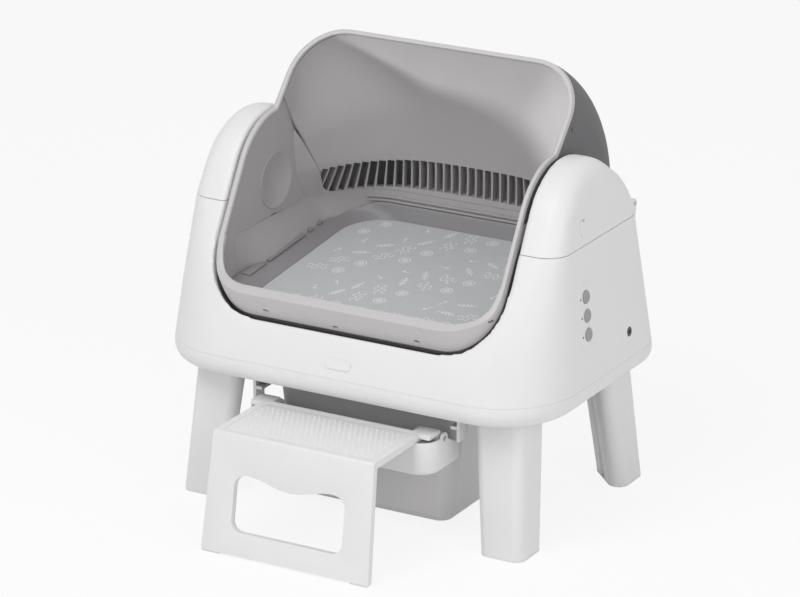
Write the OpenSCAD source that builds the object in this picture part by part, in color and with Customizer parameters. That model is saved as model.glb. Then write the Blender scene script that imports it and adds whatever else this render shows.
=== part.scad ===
// Self-cleaning litter box: an open-topped drum that turns backwards in a cradle on four legs,
// over a waste drawer that carries a hinged step.
// Millimetres, X to the right, Y to the back, Z up from the floor.

/* [Drum] */
// Outer radius of the drum
drum_r = 208; // [200:1:212]
// Length of the drum along its axis
drum_l = 412; // [390:1:440]
// Rounding of the drum's two ends
drum_round = 70; // [50:1:80]
// Wall of the drum shell
drum_wall = 3.5; // [2.5:0.5:5]
// Running gap between the drum and its cradle
drum_gap = 5; // [4:0.5:8]
// How far the drum's cradle dips below the body's underside
drum_dip = 6; // [4:0.5:8]
// How far the hood's edge lies behind the axis
hood_y = 83; // [70:1:95]
// How far the front rim lies below the axis
rim_drop = 88; // [80:1:100]
// Slope of the front rim, in degrees
rim_slope = 24; // [15:1:30]
// Width of the light trim along the rim
trim_w = 7; // [5:0.5:10]

/* [Litter pan and sieve] */
// How far the pan's middle lies below the axis
pan_drop = 102.5; // [98:0.5:112]
// Slope of the pan's floor, in degrees
pan_slope = 5.7; // [3:0.1:8]
// Length of the pan, front to back
pan_l = 304; // [280:1:306]
// Ledge between the pan's recess and each end of the drum
pan_side = 46; // [30:1:60]
// Thickness of the pan's floor and walls
pan_wall = 3; // [2:0.5:4]
// Height of the pan's upstand at the sides
pan_lip = 14; // [8:1:20]
// Height of the pan's upstand at the back
pan_back = 26; // [20:1:30]
// Thickness of the litter mat
mat_t = 3; // [2:0.5:5]
// How far the sieve lies behind the axis
sieve_y = 160; // [154:1:166]
// Height of the sieve's slots
slot_h = 40; // [30:1:44]
// How far the middle of the slots lies below the axis
slot_drop = 17; // [10:1:24]
// How much lower the slots stand towards the drum's ends
slot_arch = 12; // [0:1:16]
// Width of one sieve slot
slot_w = 9; // [5:0.5:9.5]
// Spacing of the sieve slots
slot_pitch = 12; // [11.5:0.5:16]
// Thickness of the back panel
panel_t = 3; // [2:0.5:4]

/* [Body] */
// Radius of the ears about the drum's axis
ear_r = 97; // [92:1:105]
// How far the ears' rear arc lies behind the drum's axis
ear_lag = 22; // [12:1:26]
// How far the ears' rear arc lies below the drum's axis
ear_dip = 15; // [8:1:20]
// Thickness of an ear at the height of the drum's axis
ear_t = 57; // [52:1:64]
// Lean of the body's side faces, in degrees
draft = 5.5; // [3:0.5:7]
// Wall of the body mouldings
wall = 3; // [2.5:0.5:4]
// Height of the body's underside above the floor
body_z = 178; // [174:1:186]
// Height of the bottom tray, up to its seam
tray_h = 30; // [26:1:36]
// How far the drum's front lies beyond the front lip's knee
front_reveal = 15; // [4:1:20]
// How far the front lip's knee lies above the underside
front_knee_rise = 55; // [47:1:62]
// How far the drum's back lies beyond the rear knee
rear_reveal = 38; // [24:1:46]
// How far the rear knee lies above the underside
rear_knee_rise = 44; // [37:1:52]
// How much further out the underside lies than the knees
belly = 7; // [2:1:10]
// Rounding of the body's upright corners at the ears
ear_corner = 30; // [24:1:36]
// Rounding of the body's front corners, seen from above
front_corner = 105; // [60:1:115]
// Rounding of the body's rear corners, seen from above
rear_corner = 60; // [50:1:80]
// Gap along the parting line of the ear covers
parting_gap = 0.4; // [0.3:0.1:0.8]

/* [Legs] */
// How far the legs' outer corners at the floor lie inside the body's sides
foot_in = 18; // [12:1:24]
// How far the front legs' outer corners lie behind the front knee
foot_front_in = 26; // [20:1:32]
// How far the rear legs' outer corners lie behind the rear knee
foot_rear_out = 10; // [2:1:14]
// Side of a leg's three-cornered section at the floor
leg_foot = 61; // [50:1:64]
// Side of a leg's three-cornered section at the top
leg_top = 68; // [60:1:74]
// Sideways splay of a leg over its height
splay_x = 12; // [4:1:16]
// Splay of a leg to the front or back over its height
splay_y = 20; // [8:1:24]
// Rounding of a leg's corners
leg_round = 14; // [8:1:16]
// Thickness of the rubber foot pads
pad_t = 3; // [2:0.5:5]

/* [Drive] */
// Radius of the drum's journals
journal_r = 30; // [24:1:32]
// Radial clearance of a journal or hinge pin in its bore
fit = 0.05; // [0.03:0.01:0.08]
// Thickness of the bearing rings
ring_t = 8; // [5:1:10]
// Width of the bearing rings
ring_w = 11; // [8:1:12]
// Tooth module of the gear pair
gear_module = 3; // [2.5:0.5:3]
// Teeth on the drum gear
gear_teeth = 40; // [38:1:42]
// Teeth on the pinion
pinion_teeth = 14; // [13:1:15]
// Width of the gear teeth
gear_w = 10; // [8:1:12]
// Diameter of the motor
motor_d = 34; // [28:1:36]
// Length of the motor
motor_l = 56; // [40:1:60]

/* [Controls] */
// Diameter of a push button
button_d = 17; // [14:1:18]
// Spacing of the buttons
button_pitch = 24.5; // [22:0.5:28]
// Travel of a push button
button_travel = 1.5; // [1:0.1:2]
// How far the middle button lies below the drum's axis
button_drop = 88; // [80:1:95]
// How far the buttons lie in front of the axis
button_y = 48; // [42:1:54]
// Width of the control panel
control_w = 42; // [38:1:46]
// Travel of an ear cover's latch
latch_travel = 2; // [1:0.5:2.5]

/* [Waste drawer] */
// Half width of the waste bin at its top
bin_top = 134; // [126:1:136]
// Half width of the waste bin at its bottom
bin_foot = 118; // [110:1:122]
// Front of the waste bin in front of the axis
bin_front = 120; // [112:1:124]
// Back of the waste bin behind the axis
bin_back = 140; // [130:1:146]
// Height of the bin's underside above the floor
bin_z = 8; // [5:1:15]
// Height of the bin's rim above the floor
bin_rim = 162; // [158:1:164]
// Wall of the waste bin
bin_wall = 2.5; // [2:0.5:4]
// Front face of the drawer's scoop in front of the axis
scoop_front = 196; // [190:1:200]
// Height of the scoop's underside above the floor
scoop_z = 102; // [95:1:108]
// Height of the scoop's front edge above the floor
scoop_rim = 145; // [140:1:146]
// Rounding of the scoop's front corners
scoop_round = 27; // [15:1:32]

/* [Step] */
// Height of the step above the floor
step_z = 154.6; // [152:0.2:158]
// Front edge of the step in front of the axis
step_front = 298; // [285:1:310]
// Back edge of the step in front of the axis
step_back = 178; // [174:1:200]
// Half width of the step
step_half = 115.5; // [110:0.5:120]
// How much wider the step stands at the floor, each side
step_flare = 5.5; // [0:0.5:8]
// How much further out the step stands at the floor
step_lean = 26; // [10:1:32]
// Thickness of the step
step_t = 9; // [7:0.5:10]
// Hinge of the step, in front of the axis
hinge_y = 157; // [150:1:164]
// Hinge of the step above the floor
hinge_z = 143; // [140:0.5:144]
// Diameter of the step's hinge pins
hinge_pin_d = 7; // [5:0.5:8]

/* [Hidden] */
$fn = 96;

white = "#ececec";
pale_grey = "#c4c1c2";
mid_grey = "#8c8a8c";
dark_grey = "#6f6e70";
mat_grey = "#b0b2b4";
steel = "#9aa0a6";
rubber_grey = "#c8c8ca";
board_green = "#2f6b4a";

drum_half = drum_l / 2;
axis_z = body_z + drum_r + drum_gap - drum_dip;
body_half = drum_half + drum_gap + ear_t;
pan_w = drum_l - 2 * pan_side;
front_knee = drum_r - front_reveal;
rear_knee = drum_r - rear_reveal;
foot_x = body_half - foot_in;
foot_front = front_knee - foot_front_in;
foot_rear = rear_knee + foot_rear_out;
big = 2000;

// The origin lies midway between the step's foot and the back of the drum or body.
step_foot_y = -(step_front + step_lean);
rear_most = max(drum_r, rear_knee + belly, foot_rear);
frame_y = -(step_foot_y + rear_most) / 2;

// Levels relative to the drum's axis
underside = body_z - axis_z;
front_knee_drop = -underside - front_knee_rise;
rear_knee_drop = -underside - rear_knee_rise;
seam = underside + tray_h;

function lerp(a, b, t) = a + (b - a) * t;
function polar(r, a) = [r * cos(a), r * sin(a)];
function tangent_up(p, r, turn) = atan2(p[1], p[0]) + turn * acos(r / norm(p));
function meet(a, ca, b, cb) =
    [ca * sin(b) - cb * sin(a), cb * cos(a) - ca * cos(b)] / sin(b - a);
function arc(centre, r, from, to, steps) =
    [for (k = [0:steps]) centre + polar(r, lerp(from, to, k / steps))];

module on_axis() translate([0, frame_y, axis_z]) children();
module on_floor() translate([0, frame_y, 0]) children();
module along_x(length) rotate([90, 0, 90]) linear_extrude(length, center = true) children();
module about_x() rotate([0, 90, 0]) rotate_extrude() children();
module rod_x(r, from, to) translate([from, 0, 0]) rotate([0, 90, 0]) cylinder(r = r, h = to - from);
module span(from, to) translate(from) cube(to - from);
module both_sides() for (s = [0, 1]) mirror([s, 0, 0]) children();

// Body form, convex: ear arcs above the parting line and round-cornered level slices below it.
// The front and rear faces are tangent to the ears' two arcs and turn down at the knees.
ear_rear = [ear_lag, -ear_dip];
front_tangent = 360 + tangent_up([-front_knee, -front_knee_drop], ear_r, -1);
rear_tangent = tangent_up([rear_knee, -rear_knee_drop] - ear_rear, ear_r, 1);
ear_join = atan2(ear_lag, ear_dip);
knee_blend = 26;
ear_side_round = 24;
under_round = 26;
// Steps round the ear, round a slice's corner and round an edge: outer skin, then inner hollow
ear_steps = [7, 4];
corner_steps = [6, 3];
edge_steps = [3, 2];

function side_x(z) = body_half - z * tan(draft);
function face_y(centre, normal, z) = (ear_r + centre * polar(1, normal) - z * sin(normal)) / cos(normal);
function rear_wall_y(z) = face_y(ear_rear, rear_tangent, z);
function soft_min(a, b) = min(a, b) - max(knee_blend - abs(a - b), 0) ^ 2 / (4 * knee_blend);
function belly_y(knee, drop, z) = knee + belly * (-drop - z) / (-underside - drop);
function front_depth(z) = soft_min(-face_y([0, 0], front_tangent, z), belly_y(front_knee, front_knee_drop, z));
function rear_depth(z) = soft_min(rear_wall_y(z), belly_y(rear_knee, rear_knee_drop, z));
function corner_round(wide, z) = lerp(ear_corner, wide, min(1, -z / front_knee_drop));
function slice(z, inset, steps) =
    let (half = side_x(z) - inset, front = front_depth(z) - inset, rear = rear_depth(z) - inset,
        rf = corner_round(front_corner, z) - inset, rr = corner_round(rear_corner, z) - inset)
        [for (q = concat(
            arc([half - rr, rear - rr], rr, 0, 90, steps), arc([rr - half, rear - rr], rr, 90, 180, steps),
            arc([rf - half, rf - front], rf, 180, 270, steps),
            arc([half - rf, rf - front], rf, 270, 360, steps)))
                [q[0], q[1], z]];
function ear_arc(inset, side, turn, steps) =
    let (e = ear_side_round - inset, r = ear_r - inset - e * (1 - cos(turn)))
        [for (q = concat(
            arc(ear_rear, r, rear_tangent, ear_join, steps), arc([0, 0], r, ear_join, front_tangent, steps)))
                [side * (side_x(q[1]) - inset - e * (1 - sin(turn))), q[0], q[1]]];
module body_form(inset, detail) {
    e = edge_steps[detail];
    round = under_round - inset;
    levels = [for (t = [0:5]) -front_knee_drop * sqrt(t / 4)];
    ears = [for (side = [-1, 1], k = [0:e]) each ear_arc(inset, side, 90 * k / e, ear_steps[detail])];
    sides = [for (z = levels) if (z > underside + under_round) each slice(z, inset, corner_steps[detail])];
    belly_edge = [for (k = [0:e]) each slice(underside + inset + round * (1 - sin(90 * k / e)),
        inset + round * (1 - cos(90 * k / e)), corner_steps[detail])];
    points = concat(ears, sides, belly_edge);
    hull() polyhedron(points, [for (i = [0:len(points) - 3]) [i, i + 1, i + 2]]);
}

module barrel(r, half, round) about_x() {
    translate([0, round - half]) square([r, 2 * (half - round)]);
    translate([0, -half]) square([r - round, 2 * half]);
    for (s = [-1, 1]) translate([r - round, s * (half - round)]) circle(round);
}
module drum_form(inset) barrel(drum_r - inset, drum_half - inset, drum_round - inset);
module cradle_space(extra) drum_form(-drum_gap - extra);

// Hollow casing of the body, before it is split into tray, shell and ear covers
module casing() difference() {
    body_form(0, 0);
    cradle_space(0);
    difference() {
        body_form(wall, 1);
        cradle_space(wall);
    }
}

ear_in = drum_half + drum_gap;
bearing_in = ear_in - 2;
bearing_out = bearing_in + ring_w;
ring_r = journal_r + fit + ring_t;
seat_gap = 0.2;
cover_gap = 0.6;

// Gear pair
gear_r = gear_module * gear_teeth / 2;
pinion_r = gear_module * pinion_teeth / 2;
centre_drop = gear_r + pinion_r + 0.2;
gear_in = bearing_out + 3;
gear_out = gear_in + gear_w;
gearbox_in = gear_out + 3;
gearbox_t = 22;
gearbox_w = 56;
gearbox_h = 62;
pinion_shaft_r = 5;
hub_end_r = journal_r - 4;
post_r = 4;
post_places = [[-36, 22], [36, 22], [-22, -24], [22, -24]];

// Fittings on the leaning side face: origin on the face, X outwards, Y to the back, Z up the face
module on_side(y, z) translate([side_x(z), y, z]) rotate([0, -draft, 0]) children();
panel_rise = 0.8;
control_h = 2 * button_pitch + control_w - 4;
panel_back = 6;
board_gap = 9;
button_rise = button_travel + 0.1;
button_flange = 1.5;
button_clear = 0.3;
light_y = -14;
light_r = 1.2;
socket_y = 62.5;
socket_drop = 143;
socket_r = 6;
latch_y = -41;
latch_z = 23;
latch_w = 11;
latch_h = 20;
latch_clear = 0.5;

// Small sizes of fittings
hull_slice = 0.5;
screw_r = 2;
screw_head_r = 4;
screw_head_h = 2;
screw_reach = 8;
screw_in = 32;
screw_pitch = 60;
screw_front = foot_front - 7;
screw_places = [for (s = [-1, 1], y = [-screw_front, -screw_pitch / 2, screw_pitch / 2])
    [s * (y == -screw_front ? drum_half / 2 : foot_x - screw_in), y]];
latch_rise = 0.6 * latch_travel;
latch_collar = 1.6;
latch_collar_w = 6;
badge_w = 38;
badge_h = 14;
badge_rise = 1;
badge_z = -front_knee_drop - 6;
badge_tilt = atan((front_depth(badge_z - badge_h / 2) - front_depth(badge_z + badge_h / 2)) / badge_h);
plug_w = control_w - 8;
board_post_r = 3;
board_t = 1.6;
socket_depth = 12;
socket_bore_r = 2.8;
socket_pin_r = 1;
cell_w = 12;
cell_l = 44;
cell_h = 9;

// Hubs and gear teeth
hub_disc = 6;
dish_r = 39;
dish_depth = 5;
dish_cut_r = 34;
dish_ball = (dish_cut_r ^ 2 + dish_depth ^ 2) / (2 * dish_depth);
dish_x = drum_half - drum_wall - hub_disc;
spigot_r = journal_r + 4;
pressure = 20;
backlash = 0.25;
flank_steps = 3;
gear_phase = 90;
shaft_reach = 12;

// Drum mouth, liner, sieve and pan
side_rim = 150;
mouth_round = 40;
hood_edge = [hood_y, sqrt(drum_r ^ 2 - hood_y ^ 2)];
rim_front = [-sqrt(drum_r ^ 2 - rim_drop ^ 2), -rim_drop];
rim_d = rim_front * polar(1, 90 + rim_slope);
function front_line(y) = [y, rim_front[1] + (y - rim_front[0]) * tan(rim_slope)];
trim_t = 6;
pan_y = 8;
pan_edge = 12;
pan_round = 60;
mat_clear = 1;
clip_l = 16;
clip_h = 5;
clip_w = 20;
clip_places = [-78, -37, 70, 100];
sieve_z = -slot_drop;
panel_round = 110;
panel_edge = 68;
panel_lean = 29;
function panel_edge_y(z) = (panel_edge - z * sin(panel_lean)) / cos(panel_lean);
panel_foot_z = -pan_drop + 22;
panel_c = let (h = hood_edge * (1 - (drum_wall + seat_gap) / drum_r), dz = h[1] - sieve_z)
    [(sieve_y ^ 2 - h[0] ^ 2 - dz ^ 2) / (2 * (sieve_y - h[0])), sieve_z];
panel_r = sieve_y + panel_t - panel_c[0];
corner_x = drum_half - drum_wall - seat_gap - panel_round;
slot_count = floor(corner_x / slot_pitch);
slot_rest = corner_x - slot_count * slot_pitch;
corner_slots = floor((panel_round * 63 * PI / 180 + slot_rest) / slot_pitch);

// Chute, rails and drawer
chute_x = foot_x - splay_x - leg_top - 3;
chute_y = bin_back + 6;
chute_clear = 3;
chute_h = drum_dip + wall + chute_clear;
chute_z = body_z - chute_h;
chute_hole_x = bin_foot - 6;
chute_hole_y = 66;
bin_round = 22;
bin_taper = 3;
lip_t = 5;
lip_w = 11;
rail_t = 4;
rail_x = bin_top + lip_w + 2;
ledge_x = bin_top + 4;
ledge_z = bin_rim - lip_t - 0.3;
hook_z = 137;
hook_l = 21;
scoop_side = 2;
scoop_fall = 20;

// Step and its hinge
step_tilt = atan(step_lean / step_z);
step_pad_t = 2;
step_foot_l = 26;
hinge_r = 8;
pin_out = bin_top + scoop_side;
knuckle_out = pin_out - wall - 2;
arm_in = step_half - 14;
arm_t = 6;
tread_t = 1.5;
tread_edge = 9;
window_half = 80;
window_low = 31;
window_top = 97;
window_round = 14;
window_ear = 20;
window_peak = 8;

module oval(w, h) {
    square([w, h - w], center = true);
    for (s = [-1, 1]) translate([0, s * (h - w) / 2]) circle(d = w);
}
module out_x(from, to) translate([from, 0, 0]) rotate([90, 0, 90]) linear_extrude(to - from) children();

// Hinge of an ear cover, outside the rear wall
knuckle_y = rear_wall_y(0) + 8;
knuckle_z = 5;
knuckle_r = 6;
knuckle_pin_r = 2.5;
knuckle_w = 10;
knuckle_gap = 0.4;
lug_low = 26;
lug_high = 14;
arm_low = 7;
arm_high = 20;
knuckle_x = (ear_in + side_x(0)) / 2;
module knuckle(x) translate([x - (knuckle_w - knuckle_gap) / 2, 0, 0]) difference() {
    out_x(0, knuckle_w - knuckle_gap) {
        translate([knuckle_y, knuckle_z]) circle(knuckle_r);
        children();
    }
    translate([0, knuckle_y, knuckle_z]) rod_x(knuckle_pin_r + fit, -1, knuckle_w + 1);
}

module hub_notch(clear) both_sides() rod_x(ring_r + clear, ear_in - 1, ear_in + wall + 4);

module body_shell() color(white) on_axis() {
    difference() {
        intersection() {
            casing();
            span([-big, -big, seam], [big, big, 0]);
        }
        hub_notch(seat_gap);
        on_side(-button_y, -button_drop) out_x(-2 * wall, wall) oval(plug_w, control_h - control_w + plug_w);
        on_side(socket_y, -socket_drop) rod_x(socket_r + seat_gap, -2 * wall, wall);
    }
    // Bosses that carry the gearbox
    for (p = post_places)
        translate([0, p[0], p[1] - centre_drop]) rod_x(post_r, ear_in + wall / 2, gearbox_in);
    // Lugs of the ear covers' hinges
    both_sides() for (s = [-1, 1])
        knuckle(knuckle_x + s * knuckle_w)
            polygon([[knuckle_y - knuckle_r, knuckle_z - 2], [knuckle_y + knuckle_r, knuckle_z - 2],
                [rear_wall_y(-lug_low) - wall / 2, -lug_low], [rear_wall_y(-lug_high) - wall, -lug_high]]);
}

module base_tray() color(white) on_axis() difference() {
    intersection() {
        casing();
        span([-big, -big, -big], [big, big, seam]);
    }
    for (p = screw_places)
        translate([p[0], p[1], underside - 1]) cylinder(r = screw_r + seat_gap, h = wall + 2);
}

module tray_screws() color(steel) on_axis() for (p = screw_places) translate([p[0], p[1], underside]) {
    translate([0, 0, -screw_head_h]) cylinder(r = screw_head_r, h = screw_head_h);
    translate([0, 0, -1]) cylinder(r = screw_r, h = wall + screw_reach);
}

module ear_cover() {
    difference() {
        intersection() {
            casing();
            span([0, -big, parting_gap], [big, big, big]);
        }
        hub_notch(cover_gap);
        on_side(latch_y, latch_z) out_x(-2 * wall, wall)
            square([latch_w + 2 * latch_clear, latch_h + 2 * latch_clear], center = true);
    }
    knuckle(knuckle_x)
        polygon([[knuckle_y + 1, knuckle_z + knuckle_r - 0.1], [knuckle_y - knuckle_r, knuckle_z],
            [rear_wall_y(arm_low) - wall / 2, arm_low], [rear_wall_y(arm_high) - wall / 2, arm_high]]);
}
module right_ear_cover() color(white) on_axis() ear_cover();
module left_ear_cover() color(white) on_axis() mirror([1, 0, 0]) ear_cover();

module cover_hinge_pins() color(steel) on_axis() both_sides() translate([0, knuckle_y, knuckle_z])
    rod_x(knuckle_pin_r, knuckle_x - 1.5 * knuckle_w, knuckle_x + 1.5 * knuckle_w);

// Snap tab in a window of the ear cover, with a collar behind the wall
module cover_latch() on_side(latch_y, latch_z) {
    out_x(-wall - 1, latch_rise) square([latch_w, latch_h], center = true);
    out_x(-wall - latch_clear - latch_collar, -wall - latch_clear)
        square([latch_w + latch_collar_w, latch_h + latch_collar_w], center = true);
}
module right_cover_latch() color(white) on_axis() cover_latch();
module left_cover_latch() color(white) on_axis() mirror([1, 0, 0]) cover_latch();

// One leg: three rounded corners drawn together from the floor pad up to the tray
module leg_corners(corner, side, z, h) for (d = [[0, 0], [-1, 0], [0, 1]])
    translate([corner[0] - leg_round + d[0] * (side - 2 * leg_round),
        corner[1] + leg_round + d[1] * (side - 2 * leg_round), z])
        cylinder(r = leg_round, h = h, $fn = 32);
module leg(front) hull() {
    leg_corners([foot_x, -front], leg_foot, pad_t, hull_slice);
    leg_corners([foot_x - splay_x, splay_y - front], leg_top, body_z - hull_slice, hull_slice);
}
module place_leg(sx, sy) on_floor() mirror([sx, 0, 0]) mirror([0, sy, 0]) children();
module front_left_leg() color(white) place_leg(1, 0) leg(foot_front);
module front_right_leg() color(white) place_leg(0, 0) leg(foot_front);
module rear_left_leg() color(white) place_leg(1, 1) leg(foot_rear);
module rear_right_leg() color(white) place_leg(0, 1) leg(foot_rear);

module foot_pads() color(rubber_grey) for (sx = [0, 1], sy = [0, 1])
    place_leg(sx, sy) hull() leg_corners([foot_x, -(sy == 0 ? foot_front : foot_rear)], leg_foot, 0, pad_t);

// Bare oval plate on the front lip
module badge_plate() color(pale_grey) on_axis() translate([0, -front_depth(badge_z) - seat_gap, badge_z])
    rotate([90 - badge_tilt, 0, 0]) linear_extrude(badge_rise) rotate(90) oval(badge_h, badge_w);

module control_panel() color(white) on_axis() on_side(-button_y, -button_drop) {
    difference() {
        union() {
            out_x(0, panel_rise) oval(control_w, control_h);
            out_x(-panel_back, 0) oval(plug_w - 2 * seat_gap, control_h - control_w + plug_w - 2 * seat_gap);
        }
        for (k = [-1:1]) translate([0, 0, k * button_pitch]) {
            rod_x(button_d / 2 + button_clear, -panel_back - 1, panel_rise + 1);
            translate([0, light_y, 0]) rod_x(light_r + seat_gap, -panel_back - 1, panel_rise + 1);
        }
    }
    // Posts that carry the control board
    for (s = [-1, 1]) translate([0, s * (plug_w / 2 - 1.5 * board_post_r), s * button_pitch / 2])
        rod_x(board_post_r, -panel_back - board_gap, -panel_back);
}
module indicator_lights() color("#dfe8df") on_axis() on_side(-button_y, -button_drop) for (k = [-1:1])
    translate([0, light_y, k * button_pitch]) rod_x(light_r, -panel_back, panel_rise + seat_gap);
module control_board() color(board_green) on_axis() on_side(-button_y, -button_drop)
    out_x(-panel_back - board_gap - board_t, -panel_back - board_gap)
        square([plug_w, control_h - control_w / 4], center = true);
module button(k) on_axis() on_side(-button_y, -button_drop) translate([0, 0, k * button_pitch]) {
    rod_x(button_d / 2, -panel_back - button_flange, panel_rise + button_rise);
    rod_x(button_d / 2 + button_flange, -panel_back - button_flange - button_clear, -panel_back - button_clear);
}
module top_button() color(mid_grey) button(1);
module middle_button() color(mid_grey) button(0);
module bottom_button() color(mid_grey) button(-1);

module dc_socket() color(dark_grey) on_axis() on_side(socket_y, -socket_drop) {
    difference() {
        union() {
            rod_x(socket_r, -socket_depth, seat_gap);
            rod_x(socket_r + 2, -socket_depth, -wall - seat_gap);
        }
        rod_x(socket_bore_r, 2 - socket_depth, 1);
    }
    rod_x(socket_pin_r, 1 - socket_depth, -1);
}

// Bearings, hubs and drive
module bearing() difference() {
    rod_x(ring_r, bearing_in, bearing_out);
    rod_x(journal_r + fit, bearing_in - 1, bearing_out + 1);
}
module right_bearing() color(dark_grey) on_axis() bearing();
module left_bearing() color(dark_grey) on_axis() mirror([1, 0, 0]) bearing();

// Dished disc inside the drum's end wall, spigot through the wall and journal in the bearing;
// end_x is where the thinner end of the journal stops
module hub(end_x) rotate([0, 90, 0]) rotate_extrude() difference() {
    union() {
        span2([0, dish_x], [dish_r, drum_half - drum_wall]);
        span2([0, dish_x], [spigot_r, drum_half]);
        span2([0, dish_x], [journal_r, bearing_out + 2]);
        span2([0, dish_x], [hub_end_r, end_x]);
    }
    span2([-1, drum_half], [hub_end_r - 2 * wall, end_x + 1]);
    intersection() {
        translate([0, dish_x + dish_depth - dish_ball]) circle(dish_ball);
        span2([0, 0], [dish_r, dish_x + dish_depth]);
    }
}
module right_hub() color(mid_grey) on_axis() hub(gear_out + 1);
module left_hub() color(mid_grey) on_axis() mirror([1, 0, 0]) hub(bearing_out + 3);

// Involute teeth: half angle of a tooth at radius r, thinned by the backlash
function roll(base, r) = r <= base ? 0 : tan(acos(base / r)) * 180 / PI - acos(base / r);
function tooth_half(teeth, r) =
    let (pitch = gear_module * teeth / 2, base = pitch * cos(pressure))
        90 / teeth - backlash / pitch * 180 / PI + roll(base, pitch) - roll(base, r);
function gear_outline(teeth) =
    let (pitch = gear_module * teeth / 2, root = pitch - 1.25 * gear_module, tip = pitch + 0.9 * gear_module)
        [for (k = [0:teeth - 1], s = [-1, 1], i = [0:flank_steps])
            let (r = lerp(s < 0 ? root : tip, s < 0 ? tip : root, i / flank_steps))
                polar(r, k * 360 / teeth + s * tooth_half(teeth, r))];
module drum_gear() color(pale_grey) on_axis() difference() {
    out_x(gear_in, gear_out) polygon(gear_outline(gear_teeth));
    rod_x(hub_end_r + seat_gap / 2, gear_in - 1, gear_out + 1);
}
module drive_pinion() color(steel) on_axis() translate([0, 0, -centre_drop]) {
    out_x(gear_in, gear_out)
        rotate(gear_phase + 180 / pinion_teeth) polygon(gear_outline(pinion_teeth));
    rod_x(pinion_shaft_r, gear_out - 1, gearbox_in + shaft_reach);
}
module gearbox() color(dark_grey) on_axis() translate([0, 0, -centre_drop]) difference() {
    span([gearbox_in, -gearbox_w / 2, -gearbox_h / 2], [gearbox_in + gearbox_t, gearbox_w / 2, gearbox_h / 2]);
    rod_x(pinion_shaft_r + fit, gearbox_in - 1, gearbox_in + shaft_reach + 1);
}
module drive_motor() color(steel) on_axis()
    translate([gearbox_in + gearbox_t / 2, 0, -centre_drop - gearbox_h / 2 - motor_l]) {
        cylinder(d = motor_d, h = motor_l);
        translate([0, 0, -4]) cylinder(d = motor_d / 3, h = 5);
    }

// Weighing bars on the tray floor over the legs
module load_cells() color(steel) on_axis()
    for (sx = [-1, 1], y = [splay_y - foot_front, foot_rear - splay_y - leg_top])
        translate([sx * (foot_x - splay_x - leg_top / 2), y + leg_top / 2,
            underside + wall + seat_gap + cell_h / 2])
            cube([cell_w, cell_l, cell_h], center = true);

// Shallow pan under the tray that leads the waste into the bin
module chute_frame() color(dark_grey) on_axis() difference() {
    span([-chute_x, -chute_y, underside - chute_h], [chute_x, chute_y, underside]);
    span([wall - chute_x, wall - chute_y, underside - chute_h + wall],
        [chute_x - wall, chute_y - wall, underside + 1]);
    span([-chute_hole_x, -chute_hole_y, underside - chute_h - 1], [chute_hole_x, chute_hole_y, underside]);
}

// Hanging rail with a ledge under the bin's lip and a hook at its front end
module drawer_rail() {
    difference() {
        span([ledge_x, -chute_y, ledge_z - rail_t], [rail_x + rail_t, chute_y, chute_z]);
        span([ledge_x - 1, -chute_y - 1, ledge_z], [rail_x, chute_y + 1, chute_z + 1]);
    }
    span([rail_x, -chute_y, hook_z], [rail_x + rail_t, hook_l - chute_y, ledge_z]);
}
module right_drawer_rail() color(white) on_floor() drawer_rail();
module left_drawer_rail() color(white) on_floor() mirror([1, 0, 0]) drawer_rail();

// Mouth of the drum, seen from the side: a gentle front rim, a steep side rim that runs into an
// arc about the axis, and the hood's edge
module mouth() difference() {
    polygon(concat([front_line(-1.2 * drum_r)],
        arc(meet(90 + rim_slope, rim_d + mouth_round, side_rim, ear_r + mouth_round), mouth_round,
            270 + rim_slope, 180 + side_rim, 6),
        [polar(ear_r, side_rim), [0, 0], [0, ear_r], hood_edge, 1.3 * hood_edge, 1.4 * drum_r * [-1, 1]]));
    circle(ear_r);
}
module mouth_cut() along_x(2 * drum_l) mouth();
module trim_cut() along_x(2 * drum_l) union() {
    mouth();
    translate(trim_w * polar(1, -45)) mouth();
}
module drum_shell() color(mid_grey) on_axis() difference() {
    drum_form(0);
    drum_form(drum_wall);
    trim_cut();
    rod_x(spigot_r + seat_gap, -drum_l, drum_l);
}
module rim_trim() color(pale_grey) on_axis() difference() {
    intersection() {
        drum_form(0);
        trim_cut();
    }
    drum_form(trim_t);
    mouth_cut();
}

// Back panel: a wide barrel that runs from the hood's edge down to the pan, with the sieve's slots
// across its back and round its two corners
module panel_form(inset) translate([0, panel_c[0], panel_c[1]])
    barrel(panel_r - inset, drum_half - drum_wall - seat_gap - inset, panel_round - inset);
module sieve_slot(x) translate([0, 0, sieve_z - slot_arch * (x / drum_half) ^ 2])
    cube([slot_w, 6 * panel_t, slot_h], center = true);
module back_panel() color(pale_grey) on_axis() difference() {
    intersection() {
        panel_form(0);
        drum_form(drum_wall + seat_gap);
        along_x(drum_l) polygon([[panel_edge_y(panel_foot_z), panel_foot_z], [2 * drum_r, panel_foot_z],
            2 * drum_r * [1, 1], [panel_edge_y(2 * drum_r), 2 * drum_r]]);
    }
    panel_form(panel_t);
    trim_cut();
    for (k = [-slot_count:slot_count])
        translate([k * slot_pitch, panel_c[0] + panel_r, 0]) sieve_slot(k * slot_pitch);
    both_sides() for (k = [1:corner_slots]) let (a = (k * slot_pitch - slot_rest) / panel_round * 180 / PI)
        translate([corner_x, panel_c[0] + panel_r - panel_round, 0]) rotate(-a)
            translate([0, panel_round, 0]) sieve_slot(corner_x + panel_round * sin(a));
}

module rounded_plate(w, l, r) {
    square([w - 2 * r, l], center = true);
    square([w, l - 2 * r], center = true);
    for (sx = [-1, 1], sy = [-1, 1]) translate([sx * (w / 2 - r), sy * (l / 2 - r)]) circle(r);
}
module on_pan() translate([0, pan_y, -pan_drop]) rotate([pan_slope, 0, 0]) children();

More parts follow.
